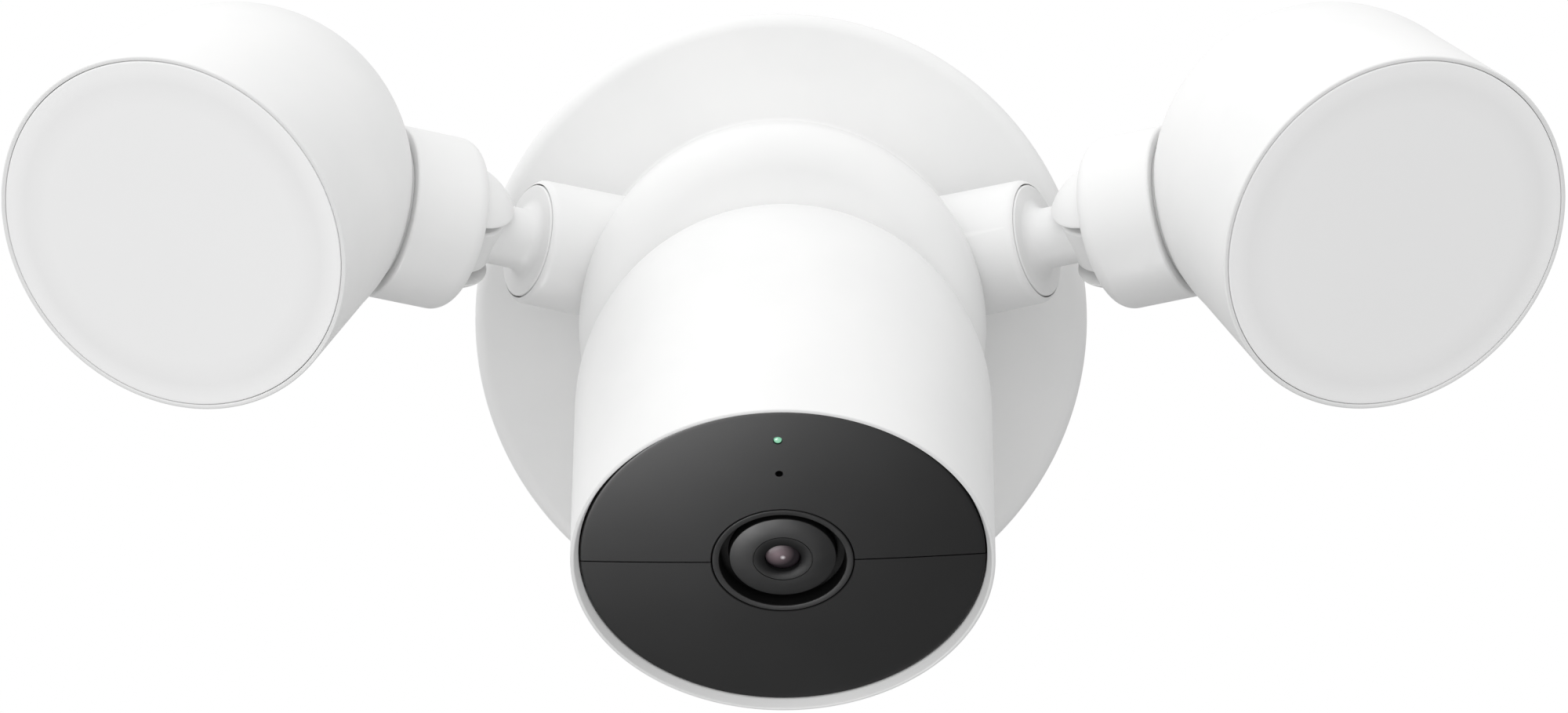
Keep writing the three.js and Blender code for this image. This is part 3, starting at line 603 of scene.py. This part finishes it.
def base_outside():
    profile = [(0, PLATE["back"])]
    profile += rounded([
        (0, PLATE["back"]),
        (PLATE["radius"], PLATE["back"], 0.5),
        (PLATE["radius"], PLATE["front"], PLATE["edge"]),
        (HUB["radius"], PLATE["front"], HUB["fillet"]),
        (HUB["radius"], HUB["front"], HUB["shoulder"]),
        (0, HUB["front"]),
    ], 16)[1:]
    return lathe("base_housing_detailed", profile, WALL_FRAME, 256)


def base_chambers():
    """The two spaces inside the moulding: a wide shallow one in the plate and one in the hub."""
    inner = HUB["radius"] - WALL
    rim = PLATE["radius"] - WALL
    cover = BACK_COVER["front"]
    plate = lathe("plate_chamber", rounded([
        (0, -1), (rim, -1), (rim, PLATE["front"] - WALL, 1.5),
        (HUB["radius"], PLATE["front"] - WALL, 1), (HUB["radius"], cover + GAP), (0, cover + GAP),
    ]), WALL_FRAME)
    hub = lathe("hub_chamber", rounded([
        (0, cover), (inner, cover), (inner, HUB["front"] - WALL, HUB["shoulder"] - WALL),
        (0, HUB["front"] - WALL),
    ], 10), WALL_FRAME)
    dish_wall = lathe("dish_wall", arc(0, DISH + WALL, -90, 90), moved(WALL_FRAME, *CAMERA_CENTRE))
    return plate, cut(hub, dish_wall)


def build_base_housing():
    piece = join(base_outside(), *[boss(side) for side in SIDES])
    plate, hub = base_chambers()
    bores = [boss_bore(side) for side in SIDES]
    cut(piece, plate, hub, *bores)
    additions = []
    holes = [lathe("dish", arc(0, DISH, -90, 90, 96), moved(WALL_FRAME, *CAMERA_CENTRE), 256)]
    for angle in COVER_POSTS["angles"]:
        place = moved(tilted(WALL_FRAME, angle), x=COVER_POSTS["ring"])
        low = BACK_COVER["front"] + GAP
        additions.append(rod("post", COVER_POSTS["radius"], low, COVER_POSTS["front"], place))
        holes.append(rod("post_hole", COVER_POSTS["hole"], low - 1, COVER_POSTS["front"] - 3, place))
    for angle in BASE_SCREW["angles"]:
        place = radial(WALL_FRAME, angle, BASE_SCREW["height"])
        rim = PLATE["radius"]
        shank, head = BASE_SCREW["hole"], 3.5
        top = rim - WALL + 0.5
        additions.append(rod("screw_boss", BASE_SCREW["boss"], BASE_SCREW["boss_start"], top, place))
        holes.append(lathe("screw_hole", [
            (0, 50), (shank, 50), (shank, rim - 1.6), (head, rim - 1.6), (head, rim - 0.35),
            (head + 0.5, rim + 0.3), (head + 0.5, rim + 1), (0, rim + 1),
        ], place, 64))
    join(piece, *additions)
    cut(piece, *holes)
    finish_piece(piece, "white_plastic", "base", "base_housing", angle=24)


def build_wall_bracket():
    ear, wide = BRACKET["ear"], BRACKET["ear_half"]
    thickness = BRACKET["thickness"]
    piece = lathe("wall_bracket_detailed", rounded([
        (0, 0), (BRACKET["radius"], 0, 0.25), (BRACKET["radius"], thickness, 0.25), (0, thickness),
    ], 3), WALL_FRAME)
    ears = []
    holes = []
    for angle in BASE_SCREW["angles"]:
        place = tilted(WALL_FRAME, angle)
        low = BRACKET["radius"] - 2
        ears.append(rounded_box("tongue", (low, -wide, 0), (ear, wide, thickness), 0.2, place))
        ears.append(rounded_box("ear", (ear - thickness, -wide, 0), (ear, wide, BRACKET["tab_reach"]),
                                0.2, place))
        across = radial(WALL_FRAME, angle, BASE_SCREW["height"])
        holes.append(rod("thread", BASE_SCREW["hole"], 48, 54, across))
    half = WIREWAY["half_width"]
    long, narrow = BRACKET_SLOT["half_length"], BRACKET_SLOT["half_width"]
    for way in (1, -1):
        low, high = (way * WIREWAY["up"] + side * WIREWAY["half_height"] for side in (-1, 1))
        holes.append(rounded_box("wireway", (-half, low, -1), (half, high, 3), 0.1, WALL_FRAME, 5))
        x = way * BRACKET_SLOT["ring"]
        holes.append(rounded_box("slot", (x - long, -narrow, -1), (x + long, narrow, 3), 0.1,
                                 WALL_FRAME, 2.2))
    cut(join(piece, *ears), *holes)
    finish_piece(piece, "steel", "base", "wall_bracket")


def screw(name, head, height, shank, length, place):
    """A cap screw: its head's face at z = 0, a hexagon socket in it and a threaded shank."""
    pitch = 0.7
    profile = [(0, -length), (shank * 0.7, -length)]
    turns = int((length - height - 1.2) / pitch)
    for k in range(turns):
        z = -length + 0.6 + k * pitch
        profile += [(shank * 0.82, z), (shank, z + pitch * 0.35), (shank, z + pitch * 0.6)]
    profile += [(shank * 0.82, -height - 0.4), (shank, -height)]
    profile += rounded([(shank, -height), (head, -height, 0.15), (head, 0, 0.35), (0, 0)], 4)[1:]
    piece = lathe(name, profile, place, 64)
    return cut(piece, rod("socket", head * 0.5, -height * 0.6, 1, place, 6))


def build_base_fixings():
    for i, angle in enumerate(COVER_POSTS["angles"], 1):
        face = BACK_COVER["back"] - GAP - 1.8
        place = moved(tilted(WALL_FRAME, angle), x=COVER_POSTS["ring"], z=face)
        place = tilted(place, 180, "X")
        piece = screw(f"back_cover_screw_{i}_detailed", 2.9, 1.8, 1.3, 12, place)
        finish_piece(piece, "steel", "base", f"back_cover_screw_{i}")
    for i, angle in enumerate(BASE_SCREW["angles"], 1):
        place = moved(radial(WALL_FRAME, angle, BASE_SCREW["height"]), z=PLATE["radius"] - 0.1)
        piece = screw(f"base_screw_{i}_detailed", 3.2, 1.2, 1.8, 13, place)
        finish_piece(piece, "steel", "base", f"base_screw_{i}")


def build_back_cover():
    low, high = BACK_COVER["back"], BACK_COVER["front"]
    radius = BACK_COVER["radius"]
    piece = lathe("back_cover_detailed", rounded([
        (0, low), (radius - 8, low), (radius - 8.6, low + 0.5), (radius - 9.8, low + 0.5),
        (radius - 10.4, low), (radius, low, 0.4), (radius, high, 0.4), (0, high),
    ], 4), WALL_FRAME)
    at_inlet = moved(WALL_FRAME, y=INLET["up"])
    holes = [rod("inlet", INLET["radius"], low - 1, high + 1, at_inlet)]
    for angle in COVER_POSTS["angles"]:
        place = moved(tilted(WALL_FRAME, angle), x=COVER_POSTS["ring"])
        holes.append(rod("screw_hole", 1.9, low - 1, high + 1, place))
    cut(piece, *holes)
    finish_piece(piece, "white_plastic", "base", "back_cover")

    gland = lathe("cable_gland_detailed", rounded([
        (2.5, low - 2.5), (5, low - 2.5, 0.4), (8, low - 1, 0.4), (8, low - GAP, 0.2), (6, low - GAP),
        (6, high + GAP), (7.5, high + GAP, 0.2), (6.5, high + 2, 0.4), (2.5, high + 2, 0.3),
        (2.5, low - 2.5),
    ], 4), at_inlet, HALF_TURN)
    finish_piece(gland, "rubber", "base", "cable_gland")

    block = rounded_box("terminal_block_detailed", (-14, -28, low - 5.2), (14, -16, low - GAP), 0.4,
                        WALL_FRAME, 0.8)
    mouths = [
        rounded_box("mouth", (x - 2.2, -30, low - 4.2), (x + 2.2, -20, low - 1.6), 0.2, WALL_FRAME)
        for x in (-9, 0, 9)
    ]
    cut(block, *mouths)
    finish_piece(block, "white_plastic", "base", "terminal_block")


def build_gasket():
    inner, outer, top = GASKET["inner"], GASKET["outer"], GASKET["thickness"]
    piece = lathe("wall_gasket_detailed", rounded([
        (inner, top / 2), (inner, 0, 0.5), (outer, 0, 0.5), (outer, top, 0.5), (inner, top, 0.5),
        (inner, top / 2),
    ], 4), WALL_FRAME)
    finish_piece(piece, "rubber", "base", "wall_gasket")


# ---------------------------------------------------------------- light arms
def build_arm_stem(side):
    """Cap and stem, and the round tang on the stem's end with a collar on each side of it."""
    place = ARM_FRAMES[side]
    along_pin = pin_frame(side)
    stem, cap = ARM["stem"], ARM["cap"]
    radius, half, collar = TANG["radius"], TANG["half_thickness"], TANG["collar"]
    piece = lathe(f"arm_stem_{side}_detailed", rounded([
        (0, ARM["end"]), (ARM["thread"], ARM["end"], 0.6), (ARM["thread"], BOSS["bore_end"]),
        (ARM["journal"], BOSS["bore_end"], 0.3),
        (ARM["journal"], -ARM["cap_depth"]), (cap, -ARM["cap_depth"], 0.2), (cap, 0, 0.35),
        (stem, 0, ARM["fillet"]), (stem, PIN["s"] - 5), (0, PIN["s"] - 5),
    ], 10), place)
    cut(piece, rod("above", radius - 0.1, half - 0.2, stem + 1, along_pin, FULL_TURN),
        rod("below", radius - 0.1, -stem - 1, 0.2 - half, along_pin, FULL_TURN))
    tang = lathe("tang", rounded([
        (0, -half), (radius, -half, 0.7), (radius, half, 0.7), (0, half),
    ], 8), along_pin)
    reach = SLOT["half_height"] - GAP
    join(piece, tang, rod("collar", collar, -reach, reach, along_pin))
    cut(piece, rod("pin_hole", PIN["radius"] + GAP, -8, 8, along_pin))
    finish_piece(piece, "white_plastic", f"arm_{side}", f"arm_stem_{side}", angle=28)


def pin_frame(side):
    """+Z along the knuckle pin, from the middle of the knuckle."""
    return tilted(moved(ARM_FRAMES[side], z=PIN["s"]), -90, "X")


def ear(side, way):
    """One side of the clevis: a ball's cap about the pin, with a soft edge at the slot."""
    slot = SLOT["half_height"]
    dome = NECK["dome"]
    edge = 0.5
    start = math.degrees(math.asin((slot + edge) / dome))
    rim = math.sqrt(dome ** 2 - (slot + edge) ** 2)
    cap = arc(0, dome, start, 90, 32)
    profile = rounded([(0, slot), (rim + 0.25, slot, edge), cap[0], cap[1]], 8)[:-2] + cap
    place = pin_frame(side) if way > 0 else tilted(pin_frame(side), 180, "X")
    return lathe("ear", profile, place, 128)


def build_neck(side):
    place = ARM_FRAMES[side]
    rear, radius, front = NECK["rear"], NECK["radius"], NECK["front"]
    collar, end = NECK["collar"], NECK["end"]
    groove, near, far = (NECK_GROOVE[k] for k in ("radius", "rear", "front"))
    piece = lathe(f"neck_{side}_detailed", rounded([
        (0, rear), (radius, rear, NECK["edge"]), (radius, front, 0.6), (collar, front), (collar, near),
        (groove, near), (groove, far), (collar, far), (collar, end, 0.5), (0, end),
    ], 16), place)
    join(piece, ear(side, 1), ear(side, -1))
    slot, wide, floor = SLOT["half_height"], SLOT["half_width"], SLOT["floor"]
    pocket = rounded_box("pocket", (-wide, -slot, rear - 1), (wide, slot, floor), 0.5, place)
    bore = floor + NECK_BORE["floor"]
    top, shank, head = PIN["top"] + GAP, PIN["radius"] + GAP, PIN["head"] + GAP
    shoulder = PIN["bottom"] + PIN["head_height"] + GAP
    pin_hole = lathe("pin_hole", [
        (0, top), (shank, top), (shank, shoulder), (head, shoulder), (head, -20), (0, -20),
    ], pin_frame(side), 64)
    cut(piece, pocket, rod("wiring", NECK_BORE["radius"], bore, end + 1, place),
        rod("lead_hole", NECK_BORE["lead_hole"], floor - 1, bore + 1, place), pin_hole)
    finish_piece(piece, "white_plastic", f"neck_{side}", f"neck_{side}", angle=28)


def build_knuckle_pin(side):
    radius, head, top, bottom = PIN["radius"], PIN["head"], PIN["top"], PIN["bottom"]
    piece = lathe(f"knuckle_pin_{side}_detailed", rounded([
        (0, bottom), (head, bottom, 0.5), (head, bottom + PIN["head_height"], 0.2),
        (radius, bottom + PIN["head_height"]),
        (radius, top, 0.5), (0, top),
    ], 5), pin_frame(side), 64)
    cut(piece, rod("socket", 1.8, bottom - 1, bottom + 1.8, pin_frame(side), 6))
    finish_piece(piece, "steel", f"neck_{side}", f"knuckle_pin_{side}")


# ---------------------------------------------------------------- light heads
def build_head_housing(side):
    radius, face, depth = HEAD["radius"], HEAD["face"], HEAD["depth"]
    inner = radius - HEAD["wall"]
    seat = DIFFUSER["radius"] + GAP
    ledge = DIFFUSER["seat"]
    outside = arc(0, radius, -90, 0)
    lip = rounded([
        outside[-1], (face, depth, 0.4), (seat, depth, 0.3), (seat, ledge, 0.2),
        (seat - DIFFUSER["seat_width"], ledge), (inner, 0),
    ], 8)
    piece = lathe(f"head_housing_{side}_detailed", outside + lip[1:-1] + arc(0, inner, 0, -90),
                  HEAD_FRAMES[side], 256)
    neck = ARM_FRAMES[side] @ Matrix.Translation((0, 0, HEAD_ALONG * MM))
    mouth = lathe("mouth", [
        (0, -20), (NECK["collar"] + GAP, -20), (NECK["collar"] + GAP, -40), (0, -40),
    ], neck, FULL_TURN)
    cut(piece, mouth)
    finish_piece(piece, "white_plastic", f"head_{side}", f"head_housing_{side}", angle=28)


def build_diffuser(side):
    back, edge, crown = (DIFFUSER[k] for k in ("back", "edge", "crown"))
    radius = DIFFUSER["radius"] + GAP * 0.6
    face = [(radius * t, edge + crown * (1 - t * t)) for t in np.linspace(0.985, 0, 24)]
    profile = [(0, back)] + rounded([
        (0, back), (radius, back, 0.3), (radius, edge, 0.3), face[0],
    ], 6)[1:] + face[1:]
    piece = lathe(f"diffuser_{side}_detailed", profile, HEAD_FRAMES[side], 256)
    finish_piece(piece, "frosted_diffuser", f"head_{side}", f"diffuser_{side}")


# ---------------------------------------------------------------- camera
def downwards(x, along):
    """A frame whose +Z points down from the camera's axis, at x and at a place along it."""
    return tilted(moved(CAMERA_FRAME, x=x, z=along), 90, "X")


def build_camera_shell():
    radius, length = CAMERA["radius"], CAMERA["length"]
    inside = radius - CAMERA["wall"]
    seat = WINDOW["radius"] + GAP
    outside = arc(0, radius, -90, 0, 64)
    rim = rounded([
        outside[-1], (radius, length, 0.8), (radius - 0.75, length, 0.3),
        (seat, WINDOW["edge"] - 0.4, 0.3), (seat, WINDOW["back"] - GAP), (inside, 0),
    ], 8)
    piece = lathe("camera_shell_detailed", outside + rim[1:-1] + arc(0, inside, 0, -90),
                  CAMERA_FRAME, 256)
    holes = [rod("button_hole", BUTTON["radius"] + GAP, 30, 50, downwards(0, BUTTON["along"]))]
    for x in SOUND_HOLES["across"]:
        place = downwards(x, SOUND_HOLES["along"])
        holes.append(rod("sound_hole", SOUND_HOLES["radius"], 30, 50, place, 24))
    cut(piece, *holes)
    finish_piece(piece, "white_plastic", "camera", "camera_shell", angle=28)


def window_face(r):
    return WINDOW["edge"] + WINDOW["bulge"] * (1 - (r / WINDOW["radius"]) ** 2)


def build_window(name, way):
    radius, back = WINDOW["radius"], WINDOW["back"]
    hole = LENS["bezel"] + GAP * 0.6
    face = [(r, window_face(r)) for r in np.linspace(radius - 0.5, hole + 0.15, 40)]
    rim = (radius, window_face(radius) - 0.02, 0.25)
    profile = rounded([(hole, back), (radius, back), rim, face[0]], 5)
    profile = profile[:-1] + face + [(hole, window_face(hole) - 0.12), (hole, back)]
    piece = lathe(f"{name}_detailed", profile, CAMERA_FRAME, 256)
    split = 0.15
    place = tilted(CAMERA_FRAME, 0 if way > 0 else 180)
    keep = rounded_box("keep", (-60, split, 30), (60, 60, 50), 0.01, place)
    combine(piece, [keep], "INTERSECT")
    if way > 0:
        holes = [rod("hole", opening["hole"], 30, 45, moved(CAMERA_FRAME, y=opening["up"]))
                 for opening in (STATUS_LIGHT, MICROPHONE)]
        cut(piece, *holes)
    finish_piece(piece, "smoked_window", "camera", name)


def build_lens():
    inner = LENS["cover"] + GAP * 0.5
    front = LENS["front"]
    floor = front - 3
    bezel = lathe("lens_bezel_detailed", rounded([
        (inner, WINDOW["back"]), (LENS["bezel"], WINDOW["back"], 0.2),
        (LENS["bezel"], front - 0.05, 0.25), (LENS["well"], front - 0.15, 0.2),
        (LENS["well"] - 0.25, floor, 0.2), (inner, floor, 0.1), (inner, WINDOW["back"]),
    ], 6), CAMERA_FRAME, FULL_TURN)
    finish_piece(bezel, "black_plastic", "camera", "lens_bezel")
    # The bezel is black plastic; its well keeps that black while only the outer ring gets the grey cover plastic,
    # so the black well also paints the shade in the deep groove.
    bezel.data.materials.append(MATERIALS["lens_cover"])
    for face in bezel.data.polygons:
        middle = face.center / MM
        if math.hypot(middle.x, middle.y) > LENS["well"] + 0.2:
            face.material_index = 1

    # The cover falls gently from a fine groove to its rim, and inside the groove to the glass.
    hole = LENS["glass"] + GAP * 0.5
    cone = LENS["cone"]
    back = LENS_BACKS["cover"]
    slope = [(r, front - 0.6 - 0.5 * ((r - cone) / (LENS["cover"] - cone)) ** 2)
             for r in np.linspace(LENS["cover"] - 0.1, cone + 0.12, 20)]
    cover = lathe("lens_cover_detailed", [
        (hole, back), (LENS["cover"], back), (LENS["cover"], slope[0][1] - 0.1)] + slope + [
        (cone + 0.05, front - 0.75), (cone - 0.05, front - 0.75), (cone - 0.12, front - 0.62),
        (hole + 0.15, front - 0.68), (hole, front - 0.78), (hole, back),
    ], CAMERA_FRAME, FULL_TURN)
    finish_piece(cover, "lens_cover", "camera", "lens_cover")

    shoulder = front - 1.5
    bulge = [(LENS["glass"] * math.sin(a), shoulder + 0.5 * math.cos(a))
             for a in np.linspace(math.pi / 2, 0, 16)]
    behind = [(0, LENS_BACKS["glass"]), (LENS["glass"], LENS_BACKS["glass"])]
    glass = lathe("lens_glass_detailed", behind + bulge, CAMERA_FRAME, HALF_TURN)
    finish_piece(glass, "lens_glass", "camera", "lens_glass", angle=60)


def build_status_light():
    up, radius, back = (STATUS_LIGHT[k] for k in ("up", "radius", "back"))
    top = window_face(up)
    piece = lathe("status_light_detailed", rounded([
        (0, back), (radius, back), (radius, top - 0.05, 0.25), (0, top + 0.02),
    ], 5), moved(CAMERA_FRAME, y=up), 48)
    finish_piece(piece, "status_light", "camera", "status_light")


def build_reset_button():
    seat = CAMERA["radius"] - CAMERA["wall"] - 0.5
    face = CAMERA["radius"] - BUTTON["sink"]
    radius, flange = BUTTON["radius"], BUTTON["flange"]
    piece = lathe("reset_button_detailed", rounded([
        (0, seat - 1), (flange, seat - 1, 0.2), (flange, seat, 0.2), (radius, seat),
        (radius, face, 0.35), (radius * 0.8, face, 0.3), (0, face - 0.25),
    ], 5), downwards(0, BUTTON["along"]), 64)
    finish_piece(piece, "white_plastic", "button", "reset_button")


# ---------------------------------------------------------------- CAD nodes that stay
def finish_cad_nodes():
    slots = {s["node"]: s["material_slot"] for s in frame["record"]["subparts"]}
    for name, node in frame["nodes"].items():
        node.data.materials.clear()
        node.data.materials.append(MATERIALS[slots[name]])


# ---------------------------------------------------------------- stage
VIEW = dict(azimuth=-0.48, elevation=2.6, distance=1.582, lens=176.6)
AIM = (0.00055, -0.022, -0.0074)  # the point at the middle of the picture


def build_camera_view():
    data = bpy.data.cameras.new("view")
    data.lens = VIEW["lens"]
    data.sensor_width = 36
    data.clip_start = 0.01
    view = bpy.data.objects.new("view", data)
    bpy.context.scene.collection.objects.link(view)
    turn = Matrix.Rotation(math.radians(VIEW["azimuth"]), 4, "Z")
    lift = Matrix.Rotation(math.radians(90 - VIEW["elevation"]), 4, "X")
    back = Matrix.Translation((0, 0, VIEW["distance"]))
    view.matrix_world = Matrix.Translation(AIM) @ turn @ lift @ back
    bpy.context.scene.camera = view


def area_light(name, place, aim, size, power):
    data = bpy.data.lights.new(name, "AREA")
    data.shape = "DISK"
    data.size = size
    data.energy = power
    light = bpy.data.objects.new(name, data)
    bpy.context.scene.collection.objects.link(light)
    light.location = place
    light.visible_camera = False
    light.rotation_euler = (Vector(aim) - Vector(place)).to_track_quat("-Z", "Y").to_euler()
    return light


def build_world():
    """White behind the object. As a light it is a soft dome, brighter above, left and in front."""
    world = bpy.data.worlds.new("studio")
    bpy.context.scene.world = world
    world.use_nodes = True
    tree = world.node_tree
    direction = tree.nodes.new("ShaderNodeTexCoord").outputs["Generated"]
    slope = tree.nodes.new("ShaderNodeVectorMath")
    slope.operation = "DOT_PRODUCT"
    slope.inputs[1].default_value = (-0.35, -0.18, 0.3)
    tree.links.new(direction, slope.inputs[0])
    level = tree.nodes.new("ShaderNodeMath")
    level.inputs[1].default_value = 1.01
    tree.links.new(slope.outputs["Value"], level.inputs[0])
    soft = tree.nodes["Background"]
    soft.inputs["Color"].default_value = (1, 1, 1, 1)
    tree.links.new(level.outputs[0], soft.inputs["Strength"])
    backdrop = tree.nodes.new("ShaderNodeBackground")
    backdrop.inputs["Color"].default_value = (1, 1, 1, 1)
    seen = tree.nodes.new("ShaderNodeLightPath")
    mix = tree.nodes.new("ShaderNodeMixShader")
    tree.links.new(seen.outputs["Is Camera Ray"], mix.inputs["Fac"])
    tree.links.new(soft.outputs[0], mix.inputs[1])
    tree.links.new(backdrop.outputs[0], mix.inputs[2])
    tree.links.new(mix.outputs[0], tree.nodes["World Output"].inputs["Surface"])


def build_stage():
    far = 4000
    corners = [(-far, -far, 0), (far, -far, 0), (far, far, 0), (-far, far, 0)]
    floor = new_object("floor", corners, [[0, 1, 2, 3]], Matrix.Translation((0, 0, -0.6)))
    pale, n = material("floor", None)
    n.set(base_color=n.ramp(n.noise(2, 2), 0.42, 0.46, 0.3, 0.7), roughness=0.7)
    floor.data.materials.append(pale)

    build_world()
    area_light("fill", (0, -2.6, 0.2), (0, 0, 0), 1.2, 2)
    sheen = area_light("sheen", (-0.13, -0.33, -0.56), (0, -0.1, -0.05), 0.26, 3.6)
    sheen.visible_diffuse = False
    bpy.context.scene.view_settings.view_transform = "Standard"


# ---------------------------------------------------------------- the whole object
finish_cad_nodes()
build_base_housing()
build_wall_bracket()
build_back_cover()
build_gasket()
build_base_fixings()
for side in SIDES:
    build_arm_stem(side)
    build_neck(side)
    build_knuckle_pin(side)
    build_head_housing(side)
    build_diffuser(side)
build_camera_shell()
build_window("window_upper", 1)
build_window("window_lower", -1)
build_lens()
build_status_light()
build_reset_button()
build_camera_view()
build_stage()
